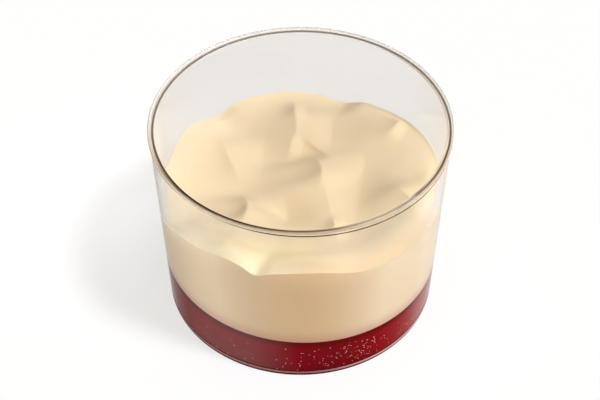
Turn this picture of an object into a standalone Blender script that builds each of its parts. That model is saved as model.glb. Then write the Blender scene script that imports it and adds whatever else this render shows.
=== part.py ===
# Strawberry cream dessert cup.
# A clear tapered cup holds a layer of strawberry jelly, and over it a layer of thick cream
# whose top is worked into soft hooked peaks with the back of a spoon.
# Metres, +Z up. The origin is the middle of the underside, and the front faces -Y.

import math

import bmesh
import bpy

MM = 0.001

# Cup
CUP_HEIGHT = 56.0 * MM
RIM_DIAMETER = 76.0 * MM
RIM_THICKNESS = 1.65 * MM
RIM_OVERHANG = 0.35 * MM  # the rim stands this far out of the outer wall
RIM_DEPTH = 0.95 * MM  # from the top of the rim down to its lower edge
RIM_INNER_EDGE = 0.4 * MM  # radius of the rounding on the side where the lips touch
RIM_OUTER_EDGE = 0.25 * MM
RIM_FALL = 0.5 * MM  # how much lower the inner edge of its top is
WALL_THICKNESS = 1.3 * MM
WALL_TAPER = math.radians(2.4)
FLOOR_THICKNESS = 1.2 * MM
BASE_CORNER = 1.1 * MM
FLOOR_CORNER = 1.0 * MM
FOOT_WIDTH = 3.0 * MM  # the flat ring that the cup stands on
FOOT_RECESS = 0.4 * MM
CUP_SEGMENTS = 80
ARC_STEPS = 4

# Contents
GAP = 0.3 * MM  # clearance between pieces that touch in the real cup
JELLY_LEVEL = 13.6 * MM
JELLY_TILT = math.radians(-2.0)  # it set a little higher at the left
JELLY_RINGS = 14
CREAM_RINGS = 35

# Height of the cream before it was worked, in mm, and its rise for each mm to the right
CREAM_LEVEL = 35.5
CREAM_RISE = 0.05

# Line where the cream meets the wall: bearing in degrees from +X, height in mm
SHORE = (
    (-157, 34.7),
    (-144, 37.8),
    (-131, 39.5),
    (-121, 40.7),
    (-114, 40.0),
    (-108, 37.9),
    (-102, 39.2),
    (-92, 40.3),
    (-81, 40.1),
    (-65, 37.6),
    (-45, 36.9),
    (-15, 37.8),
    (10, 38.0),
    (31, 37.6),
    (53, 35.8),
    (61, 35.3),
    (70, 33.4),
    (82, 34.6),
    (97, 35.5),
    (119, 35.4),
    (130, 33.7),
    (146, 36.7),
    (165, 34.4),
    (184, 33.8),
)
SHORE_WIDTH = 10.0  # the cream runs up to that line over this width, in mm
PEAK_FADE = 3.0  # and the peaks die out this close to the wall

# Broad swells and troughs that the spoon left, in mm and degrees: middle, rise, and the
# half length and half width of the patch, whose length runs along the bearing "along".
SWELLS = (
    dict(x=-29, y=18.5, rise=2.0, along=15, length=15, width=9.5),
    dict(x=-22, y=-30, rise=4.6, along=-40, length=13, width=9),
    dict(x=1, y=-36, rise=4.4, along=0, length=13, width=12),
    dict(x=23, y=17, rise=1.8, along=60, length=12, width=9),
    dict(x=22, y=-6.5, rise=2.2, along=85, length=8.5, width=7),
    dict(x=-19.5, y=-1, rise=-1.4, along=31, length=18, width=7.5),
    dict(x=-4.5, y=-9, rise=-3.1, along=-31, length=10.5, width=4.5),
    dict(x=16, y=-11.5, rise=-2.4, along=89, length=11, width=15.5),
    dict(x=-19.5, y=24.5, rise=-1.8, along=126, length=18, width=6.5),
)

# Hooked peaks, in mm and degrees. The tip stands at x, y and is "high" over the swells. On the
# side of the bearing "hook" a face falls away over "face" into a hollow "deep" below the swells
# and "reach" away. On the other side a straight slope runs down over "slope" to a crease, and
# that length grows by "fan" for each mm across. The crest is "wide" to each side and bends
# round the hollow by "curl".
PEAKS = (
    dict(
        x=-1.6, y=25.6, high=1.1, hook=181, face=3.4, deep=0.3, reach=3.6,
        slope=3.4, wide=4.6, curl=0, fan=0,
    ),
    dict(
        x=-1, y=20, high=2.7, hook=178, face=9, deep=0, reach=3,
        slope=9.4, wide=7.5, curl=0.1, fan=0,
    ),
    dict(
        x=4.2, y=11.4, high=0.9, hook=223, face=0.9, deep=0.1, reach=1.5,
        slope=6, wide=5.6, curl=0, fan=0,
    ),
    dict(
        x=-2.6, y=12.6, high=1, hook=165, face=3.4, deep=0, reach=2,
        slope=3, wide=3.2, curl=0, fan=0,
    ),
    dict(
        x=5.3, y=2.9, high=2.7, hook=192, face=6.5, deep=0.2, reach=4,
        slope=11.5, wide=5.8, curl=0.6, fan=-0.35,
    ),
    dict(
        x=6.5, y=-5, high=1.2, hook=192, face=7, deep=0, reach=3,
        slope=9, wide=7.5, curl=0, fan=-0.4,
    ),
    dict(
        x=-18.6, y=8.6, high=1.8, hook=202, face=4.6, deep=0.3, reach=3,
        slope=9.4, wide=7, curl=-0.1, fan=-0.5,
    ),
    dict(
        x=-13.3, y=-9.6, high=2.6, hook=183, face=4.6, deep=0.6, reach=3.8,
        slope=10, wide=5.4, curl=0.5, fan=-0.1,
    ),
    dict(
        x=25.3, y=18.2, high=1.3, hook=154, face=4.6, deep=0.2, reach=4,
        slope=2.8, wide=5.2, curl=0.2, fan=0.1,
    ),
    dict(
        x=26.8, y=-8.4, high=1.9, hook=212, face=4.2, deep=0.3, reach=4,
        slope=14, wide=5.6, curl=0.2, fan=0,
    ),
    dict(
        x=8.5, y=-15.8, high=1.2, hook=186, face=3.6, deep=0.4, reach=3.8,
        slope=3.2, wide=3.4, curl=0, fan=0,
    ),
    dict(
        x=-17, y=-23, high=1.1, hook=164, face=8, deep=0, reach=3,
        slope=10.5, wide=10, curl=0, fan=0,
    ),
)
CREASE_SOFTNESS = 0.03  # how softly the slopes run out, as a part of their length
FACE_ROUNDING = 1.2  # 1 leaves the crests sharp, 2 rounds them off
FACE_LAY_BACK = 1.2  # how much longer the face gets towards the crest's two ends

COLOURS = {
    "clear_cup": ((0.92, 0.95, 0.96), 0.05),
    "strawberry_layer": ((0.25, 0.004, 0.008), 0.12),
    "cream_layer": ((0.88, 0.68, 0.42), 0.45),
}


def inner_radius(z):
    """Radius of the cup's inner wall at a height."""
    top = RIM_DIAMETER / 2 - RIM_THICKNESS
    return top - (CUP_HEIGHT - RIM_THICKNESS / 2 - z) * math.tan(WALL_TAPER)


def outer_radius(z):
    return inner_radius(z) + WALL_THICKNESS


def arc(centre_r, centre_z, radius, start, end, steps=ARC_STEPS):
    """Points of an arc in the turned profile; angles in radians from +R towards +Z."""
    angles = (start + (end - start) * i / steps for i in range(steps + 1))
    return [(centre_r + radius * math.cos(a), centre_z + radius * math.sin(a)) for a in angles]


def floor_corner(offset):
    """The rounded corner between wall and floor, seen from inside, pulled in by an offset."""
    radius = FLOOR_CORNER
    centre_z = FLOOR_THICKNESS + offset + radius
    centre_r = inner_radius(centre_z) - offset - radius
    return arc(centre_r, centre_z, radius, -WALL_TAPER, -math.pi / 2)


def cup_profile():
    """Half section of the cup, from the middle of the underside round to the middle of the floor."""
    down = -math.pi / 2
    corner_r = outer_radius(BASE_CORNER) - BASE_CORNER
    foot_in = corner_r - FOOT_WIDTH
    points = [(0, FOOT_RECESS), (foot_in - FOOT_RECESS, FOOT_RECESS), (foot_in, 0)]
    points += arc(corner_r, BASE_CORNER, BASE_CORNER, down, -WALL_TAPER)
    # The rim: a small step out of the wall, a straight side, and a top with rounded edges that
    # falls a little towards the inside.
    step_z = CUP_HEIGHT - RIM_DEPTH
    outside = RIM_DIAMETER / 2
    inside = outside - RIM_THICKNESS
    points.append((outer_radius(step_z - RIM_OVERHANG / 3), step_z - RIM_OVERHANG / 3))
    points.append((outside - RIM_OVERHANG / 3, step_z))
    points.append((outside, step_z + RIM_OVERHANG / 3))
    flat = outside - RIM_OUTER_EDGE - inside - RIM_INNER_EDGE
    lean = math.pi / 2 + math.atan2(RIM_FALL, flat)
    points += arc(outside - RIM_OUTER_EDGE, CUP_HEIGHT - RIM_OUTER_EDGE, RIM_OUTER_EDGE, 0, lean)
    inner_z = CUP_HEIGHT - RIM_FALL - RIM_INNER_EDGE
    points += arc(inside + RIM_INNER_EDGE, inner_z, RIM_INNER_EDGE, lean, math.pi)
    points += floor_corner(0)
    points.append((0, FLOOR_THICKNESS))
    return points


def turned_mesh(name, profile, segments):
    """Spins a half section round the Z axis into a closed body."""
    bm = bmesh.new()
    verts = [bm.verts.new((r, 0, z)) for r, z in profile]
    edges = [bm.edges.new(pair) for pair in zip(verts, verts[1:])]
    bmesh.ops.spin(
        bm, geom=verts + edges, cent=(0, 0, 0), axis=(0, 0, 1), angle=2 * math.pi, steps=segments
    )
    return finished_mesh(name, bm)


def finished_mesh(name, bm):
    bmesh.ops.remove_doubles(bm, verts=bm.verts, dist=1e-6)
    bmesh.ops.recalc_face_normals(bm, faces=bm.faces)
    mesh = bpy.data.meshes.new(name)
    bm.to_mesh(mesh)
    bm.free()
    mesh.shade_smooth()
    mesh.set_sharp_from_angle(angle=math.radians(40))
    return mesh


def between(points, bearing):
    """Height at a bearing on a smooth closed line through (bearing, height) points."""
    first, last = points[0], points[-1]
    ring = (
        (last[0] - 360, last[1]),
        *points,
        (first[0] + 360, first[1]),
        (points[1][0] + 360, points[1][1]),
    )
    bearing = (bearing - first[0]) % 360 + first[0]
    for before, start, end, after in zip(ring, ring[1:], ring[2:], ring[3:]):
        if start[0] <= bearing <= end[0]:
            width = end[0] - start[0]
            t = (bearing - start[0]) / width
            rise_in = (end[1] - before[1]) / (end[0] - before[0]) * width
            rise_out = (after[1] - start[1]) / (after[0] - start[0]) * width
            line = start[1] + (end[1] - start[1]) * smooth_step(t)
            return line + rise_in * t * (1 - t) ** 2 - rise_out * (1 - t) * t**2


def smooth_step(t):
    t = min(1, max(0, t))
    return t * t * (3 - 2 * t)


def turned(patch, bearing, x, y):
    """Distance from a patch's middle along a bearing and across it."""
    angle = math.radians(bearing)
    dx, dy = x - patch["x"], y - patch["y"]
    along = dx * math.cos(angle) + dy * math.sin(angle)
    across = dy * math.cos(angle) - dx * math.sin(angle)
    return along, across


def swell(patch, x, y):
    along, across = turned(patch, patch["along"], x, y)
    return patch["rise"] * math.exp(-((along / patch["length"]) ** 2) - (across / patch["width"]) ** 2)


def peak_height(peak, x, y):
    ahead, across = turned(peak, peak["hook"], x, y)
    wide = peak["wide"]
    ahead -= peak["curl"] * across * across / (2 * wide)
    if ahead < 0:
        slope = peak["slope"] + peak["fan"] * min(wide, max(-wide, across))
        left = 1 + ahead / slope
        soft = math.hypot(left, CREASE_SOFTNESS) - math.hypot(1, CREASE_SOFTNESS)
        section = peak["high"] * (1 + (left - 1 + soft) / 2)
    else:
        face = peak["face"] * (1 + FACE_LAY_BACK * (across / wide) ** 2)
        reached = ahead / peak["reach"]
        hollow = peak["deep"] * reached**2 * math.exp(2 * (1 - reached))
        section = peak["high"] * math.exp(-((ahead / face) ** FACE_ROUNDING)) - hollow
    return section * math.exp(-(abs(across / wide) ** 3))


def cream_height(x, y):
    """Height of the cream's top at a place, all in metres."""
    x, y = x / MM, y / MM
    shore = between(SHORE, math.degrees(math.atan2(y, x)))
    from_wall = (inner_radius(shore * MM) - GAP) / MM - math.hypot(x, y)
    level = CREAM_LEVEL + CREAM_RISE * x + sum(swell(patch, x, y) for patch in SWELLS)
    level += (shore - level) * smooth_step(1 - from_wall / SHORE_WIDTH)
    peaks = sum(peak_height(peak, x, y) for peak in PEAKS)
    return (level + peaks * smooth_step(from_wall / PEAK_FADE)) * MM


def jelly_height(x, y):
    """Height of the jelly's top, a plane that leans to one side."""
    return JELLY_LEVEL + math.tan(JELLY_TILT) * x


def edge_radius(height, angle):
    """Radius at which a layer's top meets the wall, with the gap left."""
    radius = inner_radius(JELLY_LEVEL) - GAP
    for _ in range(6):
        z = height(radius * math.cos(angle), radius * math.sin(angle))
        radius = inner_radius(z) - GAP
    return radius


def layer_mesh(name, top, rings, lower_rows):
    """A layer that fills the cup: its top on rings of near-equal triangles, then its side and underside."""
    bm = bmesh.new()
    segments = 6 * rings
    radii = [edge_radius(top, 2 * math.pi * i / segments) for i in range(segments)]
    inner = [bm.verts.new((0, 0, top(0, 0)))]
    for ring in range(1, rings + 1):
        count = 6 * ring
        outer = []
        for i in range(count):
            angle = 2 * math.pi * i / count
            radius = radii[(i * rings // ring) % segments] * ring / rings
            x, y = radius * math.cos(angle), radius * math.sin(angle)
            outer.append(bm.verts.new((x, y, top(x, y))))
        for sector in range(6):
            for i in range(ring):
                a = outer[(sector * ring + i) % count]
                b = outer[(sector * ring + i + 1) % count]
                c = inner[(sector * (ring - 1) + i) % len(inner)]
                bm.faces.new((a, b, c))
                if i < ring - 1:
                    d = inner[(sector * (ring - 1) + i + 1) % len(inner)]
                    bm.faces.new((b, d, c))
        inner = outer
    for row in lower_rows(segments):
        lower = [bm.verts.new(point) for point in row]
        for i in range(segments):
            j = (i + 1) % segments
            bm.faces.new((inner[i], lower[i], lower[j], inner[j]))
        inner = lower
    bm.faces.new(inner)
    return finished_mesh(name, bm)


def cream_lower_rows(segments):
    """One row, where the cream's underside meets the wall just over the jelly."""
    def underside(x, y):
        return jelly_height(x, y) + GAP

    row = []
    for i in range(segments):
        angle = 2 * math.pi * i / segments
        radius = edge_radius(underside, angle)
        x, y = radius * math.cos(angle), radius * math.sin(angle)
        row.append((x, y, underside(x, y)))
    return [row]


def jelly_lower_rows(segments):
    """Rows down the rounded corner of the cup's floor."""
    rows = []
    for radius, z in floor_corner(GAP):
        angles = (2 * math.pi * i / segments for i in range(segments))
        rows.append([(radius * math.cos(a), radius * math.sin(a), z) for a in angles])
    return rows


def add_piece(name, mesh):
    colour, roughness = COLOURS[name]
    material = bpy.data.materials.new(name)
    material.use_nodes = True
    shader = material.node_tree.nodes["Principled BSDF"]
    shader.inputs["Base Color"].default_value = (*colour, 1)
    shader.inputs["Roughness"].default_value = roughness
    shader.inputs["Metallic"].default_value = 0
    if name == "clear_cup":
        shader.inputs["Transmission Weight"].default_value = 1
        shader.inputs["IOR"].default_value = 1.5
    mesh.materials.append(material)
    piece = bpy.data.objects.new(name, mesh)
    bpy.context.scene.collection.objects.link(piece)
    return piece


for old in list(bpy.data.objects):
    bpy.data.objects.remove(old, do_unlink=True)

add_piece("clear_cup", turned_mesh("clear_cup", cup_profile(), CUP_SEGMENTS))
add_piece("strawberry_layer", layer_mesh("strawberry_layer", jelly_height, JELLY_RINGS, jelly_lower_rows))
add_piece("cream_layer", layer_mesh("cream_layer", cream_height, CREAM_RINGS, cream_lower_rows))
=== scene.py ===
# Strawberry cream dessert cup, dressed for its picture.
# A clear moulded pot holds red strawberry jelly and, over it, thick cream with spooned peaks.

import math
import random

import bmesh
import bpy
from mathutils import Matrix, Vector


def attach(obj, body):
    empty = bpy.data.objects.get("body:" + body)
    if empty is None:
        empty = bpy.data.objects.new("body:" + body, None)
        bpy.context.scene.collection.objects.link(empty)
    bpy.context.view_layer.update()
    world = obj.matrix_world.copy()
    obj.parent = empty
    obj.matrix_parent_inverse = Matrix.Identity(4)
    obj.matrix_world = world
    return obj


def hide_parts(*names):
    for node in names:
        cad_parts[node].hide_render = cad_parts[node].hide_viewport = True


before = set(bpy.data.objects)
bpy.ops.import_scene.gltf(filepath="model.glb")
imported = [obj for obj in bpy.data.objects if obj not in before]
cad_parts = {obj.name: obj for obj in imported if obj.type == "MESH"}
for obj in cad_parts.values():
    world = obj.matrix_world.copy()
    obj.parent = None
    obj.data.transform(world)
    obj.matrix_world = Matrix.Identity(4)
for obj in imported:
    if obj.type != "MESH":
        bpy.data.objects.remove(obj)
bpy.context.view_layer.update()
mm = 0.001


def linearColour(text):
    # sRGB hex to the linear values that a shader takes
    parts = [int(text[i : i + 2], 16) / 255 for i in (1, 3, 5)]
    return (*(p / 12.92 if p <= 0.04045 else ((p + 0.055) / 1.055) ** 2.4 for p in parts), 1)


def addNode(tree, kind, settings=(), inputs=()):
    # settings are the node's own; an input takes a plain value, or the socket or node that is
    # linked to it
    node = tree.nodes.new("ShaderNode" + kind)
    for name, value in dict(settings).items():
        setattr(node, name, value)
    for name, value in dict(inputs).items():
        if isinstance(value, bpy.types.Node):
            value = value.outputs[0]
        if isinstance(value, bpy.types.NodeSocket):
            tree.links.new(value, node.inputs[name])
        else:
            node.inputs[name].default_value = value
    return node


def newMaterial(name):
    material = bpy.data.materials.new(name)
    material.use_nodes = True
    tree = material.node_tree
    tree.nodes.clear()
    return material, tree


def pick(piece, kind, test):
    # in edit mode: selects only the faces whose place and normal, or the edges whose two ends,
    # pass the test
    bpy.ops.mesh.select_all(action="DESELECT")
    body = bmesh.from_edit_mesh(piece.data)
    if kind == "faces":
        bpy.ops.mesh.select_mode(type="FACE")
        for face in body.faces:
            face.select_set(test(face.calc_center_median(), face.normal))
    else:
        bpy.ops.mesh.select_mode(type="EDGE")
        for edge in body.edges:
            edge.select_set(test(edge.verts[0].co, edge.verts[1].co))
    bmesh.update_edit_mesh(piece.data)


def beginPiece(name):
    piece = bpy.context.object
    piece.name = piece.data.name = name
    bpy.ops.object.transform_apply(location=True, rotation=True, scale=True)
    bpy.ops.object.mode_set(mode="EDIT")
    return piece


def wear(piece, material, node):
    # the piece takes its finish, its place on the one body and the CAD node that it stands for
    piece.data.materials.clear()
    piece.data.materials.append(material)
    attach(piece, "root")
    if node:
        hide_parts(node)


# millimetres, as in the part; a pair is where a soft step begins and where it is full
cup = dict(
    sides=256,
    height=56.0,
    rimRadius=38.0,
    rimWall=1.65,
    rimLip=0.35,
    rimDepth=0.95,
    rimOuterEdge=0.25,
    rimInnerEdge=0.4,
    rimFall=0.5,
    wall=1.3,
    taper=math.radians(2.4),
    floor=1.2,
    baseCorner=1.1,
    floorCorner=1.0,
    footWidth=3.0,
    footRecess=0.4,
    # finish: the rim is a little duller than the wall, and the back is tinted a little greyer as
    # painted shade
    ior=1.5,
    gloss=0.01,
    rimGloss=0.12,
    rimGlossFrom=(54.6, 54.9),
    tintFront="#FFFFFF",
    backShadeTint="#ECEBEA",
    tintFrom=(-10, 10),
    # frost with a painted pale glow of light on the rim and the foot
    rimFrostGlow="#F2EBE6",
    rimFrostGlowFront="#F0D6B8",
    rimFrostGlowFrom=(5, -20),
    footFrostGlow="#F0BCBC",
    footFrostGlowTo=(5, 10),
    # what comes through of a lamp's light, below and above the cream's top
    lampBelow=0.64,
    lampAbove=1.0,
    lampFrom=(36, 42),
)


def innerRadius(z):
    # inside of the cup's wall at a height, in mm
    top = cup["rimRadius"] - cup["rimWall"]
    return top - (cup["height"] - cup["rimWall"] / 2 - z) * math.tan(cup["taper"])


def corner(centreR, centreZ, radius, start, end, steps):
    turn = [math.radians(start + (end - start) * i / steps) for i in range(steps + 1)]
    return [(centreR + radius * math.cos(a), centreZ + radius * math.sin(a)) for a in turn]


def pullRings(start, rings):
    # extrudes the selected cap through rings of (radius, height)
    r, z = start
    for nextR, nextZ in rings:
        bpy.ops.mesh.extrude_region_move(TRANSFORM_OT_translate={"value": (0, 0, (nextZ - z) * mm)})
        bpy.ops.transform.resize(value=(nextR / r, nextR / r, 1), center_override=(0, 0, nextZ * mm))
        r, z = nextR, nextZ


def makeCup():
    low, high = 1.5, 54.0  # the plain part of the wall comes first
    outer = [innerRadius(z) + cup["wall"] for z in (low, high)]
    bpy.ops.object.select_all(action="DESELECT")
    bpy.ops.mesh.primitive_cone_add(
        vertices=cup["sides"], radius1=outer[0] * mm, radius2=outer[1] * mm,
        depth=(high - low) * mm, location=(0, 0, (high + low) / 2 * mm),
    )
    piece = beginPiece("cup_shell")
    tilt = math.degrees(cup["taper"])

    # upwards: the small step under the rim, its top that falls inwards, the inner wall and the
    # rounded floor
    rim, height, lip = cup["rimRadius"], cup["height"], cup["rimLip"] / 3
    stepZ = height - cup["rimDepth"]
    out, into = cup["rimOuterEdge"], cup["rimInnerEdge"]
    floorZ = cup["floor"] + cup["floorCorner"]
    floorR = innerRadius(floorZ) - cup["floorCorner"]
    rings = [(innerRadius(stepZ - lip) + cup["wall"], stepZ - lip)]
    rings += [(rim - lip, stepZ), (rim, stepZ + lip)]
    fall = 90 + math.degrees(math.atan2(cup["rimFall"], cup["rimWall"] - out - into))
    rings += corner(rim - out, height - out, out, 0, fall, 6)
    rings += corner(rim - cup["rimWall"] + into, height - cup["rimFall"] - into, into, fall, 180, 8)
    rings += [(innerRadius(54.5), 54.5), (innerRadius(4.0), 4.0)]
    rings += corner(floorR, floorZ, cup["floorCorner"], -tilt, -90, 10)
    rings += [(floorR - 0.4, cup["floor"])]
    pick(piece, "faces", lambda place, normal: normal.z > 0.9)
    pullRings((outer[1], high), rings)

    # downwards: the rounded base corner, the ring that it stands on and the recess inside it
    cornerR = innerRadius(cup["baseCorner"]) + cup["wall"] - cup["baseCorner"]
    footIn = cornerR - cup["footWidth"]
    rings = corner(cornerR, cup["baseCorner"], cup["baseCorner"], -tilt, -90, 10)
    rings += [(cornerR - 0.3, 0), (footIn + 0.05, 0), (footIn, 0)]
    rings += [(footIn - cup["footRecess"], cup["footRecess"]), (footIn - 0.8, cup["footRecess"])]
    pick(piece, "faces", lambda place, normal: normal.z < -0.9 and place.z < 2 * mm)
    pullRings((outer[0], low), rings)

    bpy.ops.mesh.select_all(action="SELECT")
    bpy.ops.mesh.normals_make_consistent(inside=False)
    bpy.ops.object.mode_set(mode="OBJECT")
    bpy.ops.object.shade_smooth_by_angle(angle=math.radians(30))
    return piece


# painted dark lines on the cup, as shade where light can't come through, and frost with a painted
# pale glow, in mm; a pair is again where a soft step begins and is full: in the height (Top, Low,
# High), away from the axis (In, Out), or across the cup
lines = dict(
    # the colour of the painted shade where light can't come through
    dark="#140A06",
    # the painted dark line round the rim's top: it lies a little off the middle, and reaches in at
    # the front left
    rimLean=(-0.005, 0.008, 0),
    rimTop=(55.25, 55.35),
    rimIn=(36.62, 36.76),
    rimOut=(37.25, 37.08),
    inwards=0.3,
    inwardsLeft=(0, -15),
    inwardsFront=(0, -20),
    # it spreads at the front, and is fainter at the back and at the front right
    strength=0.95,
    spread=(38.15, 37.0),
    spreadFront=(-5, -30),
    fainterBack=0.3,
    faintBack=(-30, 20),
    fainterRight=0.4,
    faintRight=(4, 16),
    faintFront=(-12, -24),
    # the painted dark hairline under the rim
    under=0.9,
    underLean=(0.022, 0, 1),
    underLow=(54.15, 54.25),
    underHigh=(54.65, 54.55),
    underOut=(37.4, 37.5),
    underFront=(0, -22),
    # the two painted dark lines round the foot, the lower one only to the left
    footOut=(34.5, 34.6),
    upper=0.8,
    upperLow=(2.05, 2.15),
    upperHigh=(2.65, 2.55),
    lower=0.75,
    lowerLow=(0.55, 0.65),
    lowerHigh=(1.4, 1.3),
    lowerLeft=(22, 5),
    # frost with a painted pale glow of light between those two, more to the right, and on the rim
    footFrostGlow=0.22,
    footFrostGlowLow=(1.3, 1.4),
    footFrostGlowHigh=(2.15, 2.05),
    footFrostGlowMore=0.4,
    footFrostGlowRight=(0, 25),
    rimFrostGlow=0.4,
    rimFrostGlowLow=(54.95, 55.1),
)


def within(tree, share, *steps):
    # share where all the steps are full, none where one hasn't begun, with soft edges
    for value, (start, end) in steps:
        share = addNode(tree, "MapRange", {"interpolation_type": "SMOOTHSTEP"}, {
            "Value": value, "From Min": start * mm, "From Max": end * mm, "To Max": share,
        })
    return share


def roundAndAxes(tree):
    # the place, its distance from the cup's axis, and its three axes
    place = addNode(tree, "TexCoord").outputs["Object"]
    axes = addNode(tree, "SeparateXYZ", inputs={0: place})
    flat = addNode(tree, "CombineXYZ", inputs={"X": axes.outputs["X"], "Y": axes.outputs["Y"]})
    away = addNode(tree, "VectorMath", {"operation": "LENGTH"}, {0: flat})
    return place, away.outputs["Value"], *axes.outputs


def clearStyrene():
    # Clear moulded polystyrene: mirror-smooth, bends light about as glass does, hardly tinted.
    # Light can't come through where it bends most, so painted dark lines stand there as shade: one
    # runs round the rim's top near its inner edge, a hairline under the rim at the front, and two
    # lines round the foot. Between them the rim and the foot are slightly frosted and carry a
    # painted pale glow of light.
    # Lamps shine through it without bending, so that the food inside is lit softly.
    material, tree = newMaterial("clear moulded polystyrene")
    place, away, x, y, up = roundAndAxes(tree)
    # painted shade: the dark line round the rim's top
    lean = addNode(tree, "VectorMath", {"operation": "DOT_PRODUCT"}, {0: place, 1: lines["rimLean"]})
    ring = addNode(tree, "Math", {"operation": "ADD"}, {0: away, 1: lean.outputs["Value"]})
    width = addNode(tree, "Math", {"operation": "MAXIMUM"}, {
        0: within(tree, 1, (ring, lines["rimOut"])),
        1: within(tree, lines["strength"], (y, lines["spreadFront"]), (ring, lines["spread"])),
    })
    fainter = addNode(tree, "Math", {"operation": "ADD"}, {
        0: within(tree, lines["fainterBack"], (y, lines["faintBack"])),
        1: within(tree, lines["fainterRight"], (x, lines["faintRight"]), (y, lines["faintFront"])),
    })
    strength = addNode(tree, "Math", {"operation": "SUBTRACT"}, {0: lines["strength"], 1: fainter})
    full = addNode(tree, "Math", {"operation": "MULTIPLY"}, {0: width, 1: strength})
    shift = within(
        tree, lines["inwards"] * mm, (x, lines["inwardsLeft"]), (y, lines["inwardsFront"]),
    )
    ring = addNode(tree, "Math", {"operation": "ADD"}, {0: ring, 1: shift})
    dark = within(tree, full, (ring, lines["rimIn"]), (up, lines["rimTop"]))

    # painted shade: the hairline under the rim and the two lines round the foot
    height = addNode(tree, "VectorMath", {"operation": "DOT_PRODUCT"}, {
        0: place, 1: lines["underLean"],
    }).outputs["Value"]
    hairline = within(
        tree, lines["under"], (away, lines["underOut"]), (y, lines["underFront"]),
        (height, lines["underHigh"]), (height, lines["underLow"]),
    )
    foot = (away, lines["footOut"])
    upper = within(tree, lines["upper"], (up, lines["upperHigh"]), (up, lines["upperLow"]), foot)
    lower = within(
        tree, lines["lower"], (x, lines["lowerLeft"]), (up, lines["lowerHigh"]),
        (up, lines["lowerLow"]), foot,
    )
    for line in (hairline, upper, lower):
        dark = addNode(tree, "Math", {"operation": "MAXIMUM"}, {0: dark, 1: line})

    # painted light: a pale glow on the frost round the foot, stronger to the right, and on the rim
    footGlowShare = addNode(tree, "Math", {"operation": "ADD"}, {
        0: lines["footFrostGlow"], 1: within(tree, lines["footFrostGlowMore"], (x, lines["footFrostGlowRight"])),
    })
    frostGlowShare = addNode(tree, "Math", {"operation": "MAXIMUM"}, {
        0: within(tree, footGlowShare, (up, lines["footFrostGlowHigh"]), (up, lines["footFrostGlowLow"]), foot),
        1: within(tree, lines["rimFrostGlow"], (up, lines["rimFrostGlowLow"])),
    })

    # painted shade: the wall is tinted greyer towards the back
    clear = addNode(tree, "Mix", {"data_type": "RGBA"}, {
        0: within(tree, 1, (y, cup["tintFrom"])),
        6: linearColour(cup["tintFront"]), 7: linearColour(cup["backShadeTint"]),
    })
    rough = addNode(tree, "Mix", inputs={
        0: within(tree, 1, (up, cup["rimGlossFrom"])), 2: cup["gloss"], 3: cup["rimGloss"],
    })
    solid = addNode(tree, "BsdfPrincipled", inputs={
        "Base Color": clear.outputs[2],
        "Roughness": rough,
        "IOR": cup["ior"],
        "Transmission Weight": 1,
    })
    # painted light: the rim's glow takes some of the cream's colour at the front, and the foot's
    # some of the jelly's red
    rim = addNode(tree, "Mix", {"data_type": "RGBA"}, {
        0: within(tree, 1, (y, cup["rimFrostGlowFrom"])),
        6: linearColour(cup["rimFrostGlow"]), 7: linearColour(cup["rimFrostGlowFront"]),
    })
    frostGlowColour = addNode(tree, "Mix", {"data_type": "RGBA"}, {
        0: within(tree, 1, (up, cup["footFrostGlowTo"])),
        6: linearColour(cup["footFrostGlow"]), 7: rim.outputs[2],
    })
    frostGlowShader = addNode(tree, "BsdfDiffuse", inputs={"Color": frostGlowColour.outputs[2]})
    body = addNode(tree, "MixShader", inputs={0: frostGlowShare, 1: solid, 2: frostGlowShader})
    # the painted shade: a dark matt colour laid over the clear plastic
    shade = addNode(tree, "BsdfDiffuse", inputs={"Color": linearColour(lines["dark"])})
    body = addNode(tree, "MixShader", inputs={0: dark, 1: body, 2: shade})

    below, above = cup["lampBelow"], cup["lampAbove"]
    dimmed = addNode(tree, "Mix", {"data_type": "RGBA"}, {
        0: within(tree, 1, (up, cup["lampFrom"])),
        6: (below, below, below, 1), 7: (above, above, above, 1),
    })
    through = addNode(tree, "BsdfTransparent", inputs={"Color": dimmed.outputs[2]})
    path = addNode(tree, "LightPath")
    mixed = addNode(tree, "MixShader", inputs={
        0: path.outputs["Is Shadow Ray"], 1: body, 2: through,
    })
    addNode(tree, "OutputMaterial", inputs={"Surface": mixed})
    return material


cupShell = makeCup()
wear(cupShell, clearStyrene(), "clear_cup")
print("cup made")


# mm and degrees; its top leans, higher at the left
jelly = dict(
    sides=192,
    level=13.6,
    tilt=-2.0,
    intoWall=0.06,
    intoFloor=0.05,
    cloud=6.0,
    colour="#9A101C",
    deep="#700911",
    # painted light: brighter red towards the lamp at the right; painted shade: darker just under the
    # cream
    right="#A3131D",
    rightFrom=(10, 30),
    top="#6A0A0C",
    topFrom=(-3.2, -0.6),
)


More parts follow.
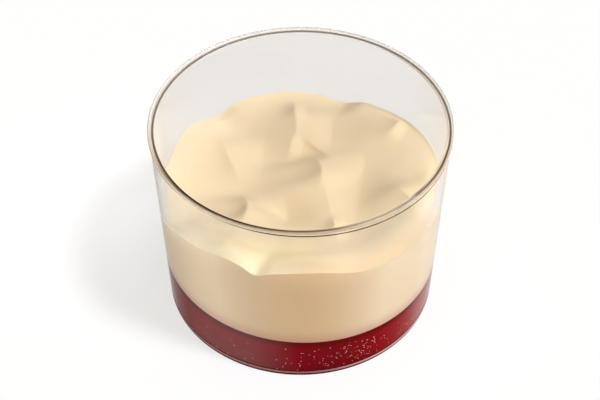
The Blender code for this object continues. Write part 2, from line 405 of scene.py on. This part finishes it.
def makeJelly():
    low, high = cup["floor"] - jelly["intoFloor"], 19.0  # tall enough to be cut at its level
    bpy.ops.object.select_all(action="DESELECT")
    bpy.ops.mesh.primitive_cone_add(
        vertices=jelly["sides"],
        radius1=(innerRadius(low) + jelly["intoWall"]) * mm,
        radius2=(innerRadius(high) + jelly["intoWall"]) * mm,
        depth=(high - low) * mm, location=(0, 0, (high + low) / 2 * mm),
    )
    piece = beginPiece("jelly")
    # it fills the rounded corner of the floor
    pick(piece, "edges", lambda a, b: max(a.z, b.z) < 3 * mm)
    bpy.ops.mesh.bevel(offset=cup["floorCorner"] * mm, segments=8, affect="EDGES")
    # and it set with a slight lean
    bpy.ops.mesh.select_all(action="SELECT")
    lean = math.radians(jelly["tilt"])
    bpy.ops.mesh.bisect(
        plane_co=(0, 0, jelly["level"] * mm), plane_no=(-math.sin(lean), 0, math.cos(lean)),
        use_fill=True, clear_outer=True,
    )
    bpy.ops.mesh.select_all(action="SELECT")
    bpy.ops.mesh.normals_make_consistent(inside=False)
    bpy.ops.object.mode_set(mode="OBJECT")
    bpy.ops.object.shade_smooth_by_angle(angle=math.radians(40))
    return piece


def overJelly(tree, place):
    # height over the leaning plane of the jelly's top
    lean = math.tan(math.radians(jelly["tilt"]))
    height = addNode(tree, "VectorMath", {"operation": "DOT_PRODUCT"}, {0: place, 1: (-lean, 0, 1)})
    return addNode(tree, "Math", {"operation": "SUBTRACT"}, {
        0: height.outputs["Value"], 1: jelly["level"] * mm,
    })


def strawberryJelly():
    # Set jelly: deep red and a little cloudy, and light sinks into it. Its own shine is low,
    # because the wall that it lies against gives the gloss.
    material, tree = newMaterial("set strawberry jelly")
    place, away, x, y, up = roundAndAxes(tree)
    cloud = addNode(tree, "TexNoise", inputs={
        "Vector": place, "Scale": 1 / (jelly["cloud"] * mm), "Detail": 4,
    })
    tone = addNode(tree, "Mix", {"data_type": "RGBA"}, {
        0: cloud.outputs["Fac"], 6: linearColour(jelly["colour"]), 7: linearColour(jelly["deep"]),
    })
    # painted light makes it brighter towards the lamp at the right, and painted shade darkest just
    # under the cream
    for there, colour in (
        (within(tree, 1, (x, jelly["rightFrom"])), "right"),
        (within(tree, 1, (overJelly(tree, place), jelly["topFrom"])), "top"),
    ):
        tone = addNode(tree, "Mix", {"data_type": "RGBA"}, {
            0: there, 6: tone.outputs[2], 7: linearColour(jelly[colour]),
        })
    solid = addNode(tree, "BsdfPrincipled", inputs={
        "Base Color": tone.outputs[2],
        "Roughness": 0.3,
        "IOR": 1.36,
        "Specular IOR Level": 0.1,
        "Subsurface Weight": 0.3,
        "Subsurface Radius": (1.0, 0.15, 0.1),
        "Subsurface Scale": 1.5 * mm,
    })
    addNode(tree, "OutputMaterial", inputs={"Surface": solid})
    return material


jellyBody = makeJelly()
wear(jellyBody, strawberryJelly(), "strawberry_layer")
print("jelly made")


# seeds and tiny bubbles caught in the jelly, against the wall; most are at the front, to the right
specks = dict(
    seed=7,
    front=80,
    round=170,
    small=0.08,
    large=0.16,
    mottle=1.5,
    colour="#FFE4DA",
    dull="#E88C7C",
    # a painted glow, so that the specks show where the lamp doesn't reach
    paintedGlow=0.3,
)


def makeSpecks():
    random.seed(specks["seed"])
    bpy.ops.object.select_all(action="DESELECT")
    bpy.ops.mesh.primitive_ico_sphere_add(
        subdivisions=1, radius=specks["small"] * mm, location=(0, 0, 5 * mm),
    )
    piece = beginPiece("jelly_specks")
    for number in range(specks["front"] + specks["round"]):
        if number < specks["front"]:
            bearing, height = random.gauss(-68, 11), random.triangular(1.8, 11.5, 8)
        else:
            bearing, height = random.uniform(0, 360), random.triangular(1.6, 11, 2.5)
        radius = random.uniform(specks["small"], specks["large"])
        away = innerRadius(height) + jelly["intoWall"] - radius * 0.3
        turn = math.radians(bearing)
        bpy.ops.mesh.primitive_ico_sphere_add(
            subdivisions=1, radius=radius * mm,
            location=(away * math.cos(turn) * mm, away * math.sin(turn) * mm, height * mm),
        )
    # the first one was only there to begin with
    pick(piece, "faces", lambda place, normal: math.hypot(place.x, place.y) < 5 * mm)
    bpy.ops.mesh.delete(type="FACE")
    bpy.ops.object.mode_set(mode="OBJECT")
    bpy.ops.object.shade_smooth()
    return piece


def palePulp():
    # Seed and pulp: pale pink to orange against the red, a little glossy. A faint painted glow
    # lights them, so that they show where the lamp doesn't reach.
    material, tree = newMaterial("strawberry seeds and pulp")
    place = addNode(tree, "TexCoord").outputs["Object"]
    mottle = addNode(tree, "TexNoise", inputs={
        "Vector": place, "Scale": 1 / (specks["mottle"] * mm),
    })
    tone = addNode(tree, "Mix", {"data_type": "RGBA"}, {
        0: mottle.outputs["Fac"], 6: linearColour(specks["colour"]), 7: linearColour(specks["dull"]),
    })
    solid = addNode(tree, "BsdfPrincipled", inputs={
        "Base Color": tone.outputs[2],
        "Roughness": 0.3,
        "Emission Color": linearColour(specks["colour"]),
        "Emission Strength": specks["paintedGlow"],
    })
    addNode(tree, "OutputMaterial", inputs={"Surface": solid})
    return material


wear(makeSpecks(), palePulp(), None)
print("specks made")


# the part's own surface, its crests a little crisper: its level, the line along the wall (the
# shore), broad swells and hooked peaks, in mm and degrees
cream = dict(
    sides=420,
    ringStep=0.32,
    sideCuts=11,
    level=35.5,
    rise=0.05,
    shoreWidth=10.0,
    peakFade=3.0,
    crease=0.03,
    rounding=1.05,
    layBack=1.2,
    gap=0.3,
    intoJelly=0.05,
    # colours of the top, and where each begins and is full; painted shade makes it darker to the
    # right and by the wall at the front right, painted light makes it paler at the front left and by
    # the wall there
    colour="#E7D1AE",
    right="#D3BF9D",
    rightWay=(0.97, -0.26, 0),
    rightFrom=(13, 24),
    front="#F8E2B2",
    frontFrom=(-17, -25),
    frontLeft=(10, -2),
    leftEdge="#EEDAB4",
    rightEdge="#D2B790",
    edgeRight=(-10, 4),
    edgeOut=(29, 34),
    edgeFront=(-4, -18),
    # colours of the side: painted shade makes it darker at the front
    sideFront="#D6B88F",
    side="#EDDABC",
    sideFrom=(-36, -29),
    nearJelly="#F5E0E8",
    nearJellyFrom=(4.5, 0),
)
shore = (
    (-157, 34.7), (-144, 37.8), (-131, 39.5), (-121, 40.7), (-114, 40.0), (-108, 37.9),
    (-102, 39.2), (-92, 40.3), (-81, 40.1), (-65, 37.6), (-45, 36.9), (-15, 37.8),
    (10, 38.0), (31, 37.6), (53, 35.8), (61, 35.3), (70, 33.4), (82, 34.6),
    (97, 35.5), (119, 35.4), (130, 33.7), (146, 36.7), (165, 34.4), (184, 33.8),
)
swells = (
    dict(x=-29, y=18.5, rise=2.0, along=15, length=15, width=9.5),
    dict(x=-22, y=-30, rise=4.6, along=-40, length=13, width=9),
    dict(x=1, y=-36, rise=4.4, along=0, length=13, width=12),
    dict(x=23, y=17, rise=1.8, along=60, length=12, width=9),
    dict(x=22, y=-6.5, rise=2.2, along=85, length=8.5, width=7),
    dict(x=-19.5, y=-1, rise=-1.4, along=31, length=18, width=7.5),
    dict(x=-4.5, y=-9, rise=-3.1, along=-31, length=10.5, width=4.5),
    dict(x=16, y=-11.5, rise=-2.4, along=89, length=11, width=15.5),
    dict(x=-19.5, y=24.5, rise=-1.8, along=126, length=18, width=6.5),
)
# tip, height, bearing of the steep face and its length, hollow's depth and reach, length of
# the slope behind, half width, bend of the crest and how the slope fans out
peakParts = ("x", "y", "high", "hook", "face", "deep", "reach", "slope", "wide", "curl", "fan")
peaks = [
    dict(zip(peakParts, row))
    for row in (
        (-1.6, 25.6, 1.1, 181, 3.4, 0.3, 3.6, 3.4, 4.6, 0, 0),
        (-1, 20, 2.7, 178, 9, 0, 3, 9.4, 7.5, 0.1, 0),
        (4.2, 11.4, 0.9, 223, 0.9, 0.1, 1.5, 6, 5.6, 0, 0),
        (-2.6, 12.6, 1, 165, 3.4, 0, 2, 3, 3.2, 0, 0),
        (5.3, 2.9, 2.7, 192, 6.5, 0.2, 4, 11.5, 5.8, 0.6, -0.35),
        (6.5, -5, 1.2, 192, 7, 0, 3, 9, 7.5, 0, -0.4),
        (-18.6, 8.6, 1.8, 202, 4.6, 0.3, 3, 9.4, 7, -0.1, -0.5),
        (-13.3, -9.6, 2.6, 183, 4.6, 0.6, 3.8, 10, 5.4, 0.5, -0.1),
        (25.3, 18.2, 1.3, 154, 4.6, 0.2, 4, 2.8, 5.2, 0.2, 0.1),
        (26.8, -8.4, 1.9, 212, 4.2, 0.3, 4, 14, 5.6, 0.2, 0),
        (8.5, -15.8, 1.2, 186, 3.6, 0.4, 3.8, 3.2, 3.4, 0, 0),
        (-17, -23, 1.1, 164, 8, 0, 3, 10.5, 10, 0, 0),
    )
]


def smoothStep(t):
    t = min(1, max(0, t))
    return t * t * (3 - 2 * t)


def shoreHeight(bearing):
    # smooth closed line through the points of the shore
    first, last = shore[0], shore[-1]
    ring = (
        (last[0] - 360, last[1]), *shore, (first[0] + 360, first[1]),
        (shore[1][0] + 360, shore[1][1]),
    )
    bearing = (bearing - first[0]) % 360 + first[0]
    for before, start, end, after in zip(ring, ring[1:], ring[2:], ring[3:]):
        if start[0] <= bearing <= end[0]:
            width = end[0] - start[0]
            t = (bearing - start[0]) / width
            riseIn = (end[1] - before[1]) / (end[0] - before[0]) * width
            riseOut = (after[1] - start[1]) / (after[0] - start[0]) * width
            line = start[1] + (end[1] - start[1]) * smoothStep(t)
            return line + riseIn * t * (1 - t) ** 2 - riseOut * (1 - t) * t**2


def turned(patch, bearing, x, y):
    # a place as the patch sees it: along its bearing and across
    angle = math.radians(bearing)
    dx, dy = x - patch["x"], y - patch["y"]
    return (
        dx * math.cos(angle) + dy * math.sin(angle),
        dy * math.cos(angle) - dx * math.sin(angle),
    )


def swellHeight(patch, x, y):
    along, across = turned(patch, patch["along"], x, y)
    steep = (along / patch["length"]) ** 2 + (across / patch["width"]) ** 2
    return patch["rise"] * math.exp(-steep)


def peakHeight(peak, x, y):
    ahead, across = turned(peak, peak["hook"], x, y)
    wide = peak["wide"]
    ahead -= peak["curl"] * across * across / (2 * wide)
    if ahead < 0:
        slope = peak["slope"] + peak["fan"] * min(wide, max(-wide, across))
        left = 1 + ahead / slope
        soft = math.hypot(left, cream["crease"]) - math.hypot(1, cream["crease"])
        section = peak["high"] * (1 + (left - 1 + soft) / 2)
    else:
        # steepest under the tip, laid back to both sides
        face = peak["face"] * (1 + cream["layBack"] * (across / wide) ** 2)
        reached = ahead / peak["reach"]
        hollow = peak["deep"] * reached**2 * math.exp(2 * (1 - reached))
        section = peak["high"] * math.exp(-((ahead / face) ** cream["rounding"])) - hollow
    return section * math.exp(-(abs(across / wide) ** 3))


def creamHeight(x, y):
    shoreZ = shoreHeight(math.degrees(math.atan2(y, x)))
    fromWall = innerRadius(shoreZ) - cream["gap"] - math.hypot(x, y)
    level = cream["level"] + cream["rise"] * x + sum(swellHeight(patch, x, y) for patch in swells)
    level += (shoreZ - level) * smoothStep(1 - fromWall / cream["shoreWidth"])
    raised = sum(peakHeight(peak, x, y) for peak in peaks)
    return level + raised * smoothStep(fromWall / cream["peakFade"])


def makeCream():
    # a plug with a ringed top: the side follows the wall, from just inside the jelly to the
    # shore, and the top takes the part's heights
    low, high = 15.0, 35.0
    radius = innerRadius(high)
    bpy.ops.object.select_all(action="DESELECT")
    bpy.ops.mesh.primitive_cylinder_add(
        vertices=cream["sides"], radius=radius * mm,
        depth=(high - low) * mm, location=(0, 0, (high + low) / 2 * mm),
    )
    piece = beginPiece("cream")
    pick(piece, "faces", lambda place, normal: normal.z > 0.9)
    edge, middle = radius - cream["gap"], 0.4
    steps = round((edge - middle) / cream["ringStep"])
    rings = [(edge + (middle - edge) * i / steps, high) for i in range(steps + 1)]
    pullRings((radius, high), rings)
    # the side in even steps
    pick(piece, "edges", lambda a, b: abs(a.z - b.z) > 15 * mm)
    bpy.ops.mesh.subdivide(number_cuts=cream["sideCuts"])
    body = bmesh.from_edit_mesh(piece.data)
    lean = math.tan(math.radians(jelly["tilt"]))
    for vert in body.verts:
        x, y, z = (value / mm for value in vert.co)
        away = math.hypot(x, y)
        if z > high - 0.1 and away < radius - 0.1:
            vert.co.z = creamHeight(x, y) * mm
            continue
        base = jelly["level"] + lean * x - cream["intoJelly"]
        z = base + (shoreHeight(math.degrees(math.atan2(y, x))) - base) * (z - low) / (high - low)
        reach = (innerRadius(z) + jelly["intoWall"]) / away
        vert.co = (x * reach * mm, y * reach * mm, z * mm)
    bmesh.update_edit_mesh(piece.data)
    bpy.ops.mesh.select_all(action="SELECT")
    bpy.ops.mesh.normals_make_consistent(inside=False)
    bpy.ops.object.mode_set(mode="OBJECT")
    bpy.ops.object.shade_smooth_by_angle(angle=math.radians(50))
    return piece


def thickCream():
    # Thick set cream: satin and pale yellow; light sinks a little way in and softens the hollows.
    # It is darker to the right, near the wall at the front right, and where it lies against the
    # wall at the front: painted shade. It is paler at the front left and near the wall at the front
    # left: painted light. Just over the jelly it is pinker.
    material, tree = newMaterial("thick set cream")
    place, away, x, y, up = roundAndAxes(tree)
    # painted shade: darker to the right
    right = addNode(tree, "VectorMath", {"operation": "DOT_PRODUCT"}, {
        0: place, 1: cream["rightWay"],
    }).outputs["Value"]
    top = addNode(tree, "Mix", {"data_type": "RGBA"}, {
        0: within(tree, 1, (right, cream["rightFrom"])),
        6: linearColour(cream["colour"]), 7: linearColour(cream["right"]),
    })
    # painted light: paler at the front left
    top = addNode(tree, "Mix", {"data_type": "RGBA"}, {
        0: within(tree, 1, (x, cream["frontLeft"]), (y, cream["frontFrom"])),
        6: top.outputs[2], 7: linearColour(cream["front"]),
    })
    # near the wall at the front: painted light to the left, painted shade to the right
    edge = addNode(tree, "Mix", {"data_type": "RGBA"}, {
        0: within(tree, 1, (x, cream["edgeRight"])),
        6: linearColour(cream["leftEdge"]), 7: linearColour(cream["rightEdge"]),
    })
    top = addNode(tree, "Mix", {"data_type": "RGBA"}, {
        0: within(tree, 1, (y, cream["edgeFront"]), (away, cream["edgeOut"])),
        6: top.outputs[2], 7: edge.outputs[2],
    })
    # painted shade: the side is darker at the front
    start, end = cream["sideFrom"]
    pale = addNode(tree, "MapRange", inputs={
        "Value": y, "From Min": start * mm, "From Max": end * mm,
    })
    wall = addNode(tree, "Mix", {"data_type": "RGBA"}, {
        0: pale, 6: linearColour(cream["sideFront"]), 7: linearColour(cream["side"]),
    })
    wall = addNode(tree, "Mix", {"data_type": "RGBA", "blend_type": "MULTIPLY"}, {
        0: within(tree, 1, (overJelly(tree, place), cream["nearJellyFrom"])),
        6: wall.outputs[2], 7: linearColour(cream["nearJelly"]),
    })
    # faces that look sideways are the side
    facing = addNode(tree, "NewGeometry").outputs["True Normal"]
    facing = addNode(tree, "SeparateXYZ", inputs={0: facing}).outputs["Z"]
    side = addNode(tree, "MapRange", inputs={"Value": facing, "From Min": 0.25, "From Max": 0.15})
    tone = addNode(tree, "Mix", {"data_type": "RGBA"}, {
        0: side, 6: top.outputs[2], 7: wall.outputs[2],
    })
    solid = addNode(tree, "BsdfPrincipled", inputs={
        "Base Color": tone.outputs[2],
        "Roughness": 0.5,
        "IOR": 1.4,
        "Subsurface Weight": 0.25,
        "Subsurface Radius": (1.0, 0.6, 0.3),
        "Subsurface Scale": 0.5 * mm,
    })
    addNode(tree, "OutputMaterial", inputs={"Surface": solid})
    return material


creamBody = makeCream()
wear(creamBody, thickCream(), "cream_layer")
print("cream made")


# bearings and heights in degrees, the bearing from +X towards +Y
studio = dict(
    floorSize=8.0,
    floorGlow=0.69,
    floorGrey=0.31,
    keyBearing=-27.0,
    keyHeight=50.0,
    keyAngle=12.0,
    keyStrength=2.85,
    keyColour="#F6FAFF",
    bounceBearing=-150.0,
    bounceHeight=-15.0,
    bounceAngle=40.0,
    bounceStrength=1.0,
    fill=0.365,
    fillColour="#FFF0DA",
    mirroredColour="#FFFAF5",
    # how bright shiny things see the room at each bearing
    mirrored=(
        (-180, 0.5), (-140, 0.68), (-118, 0.4), (-106, 0.2), (-92, 0), (-15, 0), (6, 0.12),
        (22, 0.32), (38, 0.66), (94, 0.85), (110, 0.5), (130, 0.33), (150, 0.25), (170, 0.4),
        (180, 0.5),
    ),
    bounces=24,
)


def makeFloor():
    bpy.ops.object.select_all(action="DESELECT")
    # just under the foot
    bpy.ops.mesh.primitive_plane_add(size=studio["floorSize"], location=(0, 0, -0.02 * mm))
    floor = bpy.context.object
    floor.name = "table"
    material, tree = newMaterial("white table")
    grey = studio["floorGrey"]
    solid = addNode(tree, "BsdfPrincipled", inputs={
        "Base Color": (grey, grey, grey, 1),
        "Roughness": 0.8,
        "Specular IOR Level": 0,
        "Emission Color": (1, 1, 1, 1),
        "Emission Strength": studio["floorGlow"],
    })
    addNode(tree, "OutputMaterial", inputs={"Surface": solid})
    floor.data.materials.append(material)
    floor.visible_glossy = floor.visible_shadow = False


def addSun(name, bearing, height, angle, strength):
    bearing, height = math.radians(bearing), math.radians(height)
    flat = math.cos(height)
    away = Vector((flat * math.cos(bearing), flat * math.sin(bearing), math.sin(height)))
    bpy.ops.object.light_add(type="SUN", location=away)
    light = bpy.context.object
    light.name = name
    light.rotation_euler = away.to_track_quat("Z", "Y").to_euler()
    light.data.energy = strength
    light.data.angle = math.radians(angle)
    light.visible_glossy = False
    return light


def makeLights():
    key = addSun(
        "key light", studio["keyBearing"], studio["keyHeight"], studio["keyAngle"],
        studio["keyStrength"],
    )
    key.data.color = linearColour(studio["keyColour"])[:3]
    # what the white table throws back up from the left
    addSun(
        "bounce from the table", studio["bounceBearing"], studio["bounceHeight"],
        studio["bounceAngle"], studio["bounceStrength"],
    )
    world = bpy.context.scene.world or bpy.data.worlds.new("studio")
    bpy.context.scene.world = world
    world.use_nodes = True
    tree = world.node_tree
    tree.nodes.clear()
    # even fill light from the room; shiny things see it bright at the back and the left and dark
    # from the front to the right, and the camera sees white
    direction = addNode(tree, "TexCoord").outputs["Generated"]
    direction = addNode(tree, "SeparateXYZ", inputs={0: direction})
    heading = addNode(tree, "Math", {"operation": "ARCTAN2"}, {
        0: direction.outputs["Y"], 1: direction.outputs["X"],
    })
    turn = addNode(tree, "MapRange", inputs={
        "Value": heading, "From Min": -math.pi, "From Max": math.pi,
    })
    room = addNode(tree, "ValToRGB", inputs={0: turn})
    stops = room.color_ramp.elements
    for bearing, level in studio["mirrored"][1:-1]:
        stops.new(bearing / 360 + 0.5)
    for stop, (bearing, level) in zip(stops, studio["mirrored"]):
        stop.position = bearing / 360 + 0.5
        stop.color = (level, level, level, 1)
    path = addNode(tree, "LightPath")
    # only what shines straight at the camera: not what is seen through the wall, nor what
    # lights the food
    direct = addNode(tree, "Math", {"operation": "SUBTRACT"}, {
        0: path.outputs["Is Glossy Ray"], 1: path.outputs["Is Transmission Ray"],
    })
    direct = addNode(tree, "Math", {"operation": "SUBTRACT", "use_clamp": True}, {
        0: direct, 1: path.outputs["Diffuse Depth"],
    })
    bright = addNode(tree, "Mix", inputs={0: direct, 2: studio["fill"], 3: room})
    seen = path.outputs["Is Camera Ray"]
    bright = addNode(tree, "Mix", inputs={0: seen, 2: bright, 3: 1.0})
    # the walls of the room tint the light that falls on the food, not what is mirrored
    plain = addNode(tree, "Math", {"operation": "MAXIMUM"}, {0: direct, 1: seen})
    tint = addNode(tree, "Mix", {"data_type": "RGBA"}, {
        0: plain, 6: linearColour(studio["fillColour"]), 7: linearColour(studio["mirroredColour"]),
    })
    sky = addNode(tree, "Background", inputs={"Color": tint.outputs[2], "Strength": bright})
    addNode(tree, "OutputWorld", inputs={"Surface": sky})
    bpy.context.scene.view_settings.view_transform = "Standard"
    # light goes a long way inside the wall and the rim
    cycles = bpy.context.scene.cycles
    cycles.max_bounces = cycles.glossy_bounces = cycles.transmission_bounces = studio["bounces"]


# fitted to the photo: 45 degrees down, from the front
view = dict(
    place=(0, -0.2842, 0.3121),
    tilt=45.1,
    lens=92.48,
    sensor=36,
    shift=-0.001,
)


def makeCamera():
    bpy.ops.object.camera_add(location=view["place"], rotation=(math.radians(view["tilt"]), 0, 0))
    camera = bpy.context.object
    camera.data.lens = view["lens"]
    camera.data.sensor_width = view["sensor"]
    camera.data.shift_x = view["shift"]
    bpy.context.scene.camera = camera


makeFloor()
makeLights()
makeCamera()
print("studio made")
